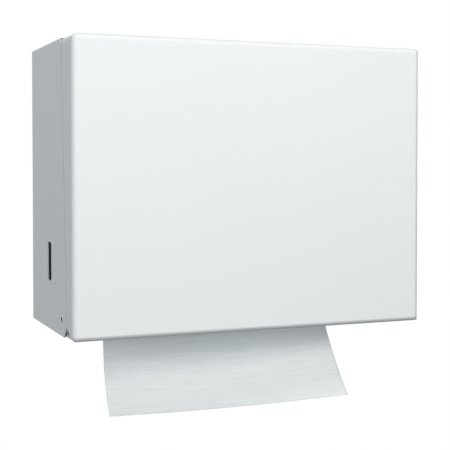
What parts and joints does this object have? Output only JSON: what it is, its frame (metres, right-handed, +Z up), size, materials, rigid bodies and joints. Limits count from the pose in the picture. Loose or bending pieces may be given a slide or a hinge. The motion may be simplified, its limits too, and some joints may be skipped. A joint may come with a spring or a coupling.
{
  "type": "single-fold paper towel dispenser",
  "caption": "White sheet-steel wall cabinet for single-fold paper towels, with a drop-down front cover, a cam lock in its top, side sight slots and a throat from which the next towel hangs.",
  "frame": {"origin": "middle of the four wall screw holes, on the wall face of the back", "axes": "+Y into the wall, the cover faces -Y, +X to the viewer's right, +Z up"},
  "size_m": [0.3008, 0.141, 0.3075],
  "materials": {
    "white_paint": "satin white enamel",
    "plated_steel": "zinc plated",
    "chromed_lock": "polished",
    "fibre": "matte",
    "towel_paper": "creped, matte"
  },
  "bodies": {
    "cabinet": {"cabinet_body": "white_paint", "towel_tray": "white_paint", "left_towel_guide": "white_paint", "right_towel_guide": "white_paint", "left_hinge_ear": "plated_steel", "right_hinge_ear": "plated_steel", "left_ear_rivet": "white_paint", "right_ear_rivet": "white_paint", "left_pivot_rivet": "white_paint", "right_pivot_rivet": "white_paint", "left_hinge_washer": "fibre", "right_hinge_washer": "fibre", "lock_keeper": "plated_steel", "keeper_rivets": "plated_steel", "towel_stack": "towel_paper"},
    "cover": {"front_cover": "white_paint", "lock_barrel": "chromed_lock", "lock_washer": "plated_steel", "lock_nut": "plated_steel"},
    "lock_rotor": {"lock_plug": "chromed_lock", "lock_cam": "plated_steel", "cam_screw": "plated_steel"},
    "next_towel": {"hanging_towel": "towel_paper"}
  },
  "joints": [
    {"name": "cover_swing", "type": "hinge", "parent": "cabinet", "child": "cover", "pos_m": [0, -0.1295, -0.1095], "axis": [1, 0, 0], "range_deg": [0, 130]},
    {"name": "lock_turn", "type": "hinge", "parent": "cover", "child": "lock_rotor", "pos_m": [0, -0.12, 0.115], "axis": [0, 0, 1], "range_deg": [0, 90]},
    {"name": "towel_pull", "type": "slide", "parent": "cabinet", "child": "next_towel", "axis": [0, 0, -1], "range_m": [0, 0.12]}
  ]
}
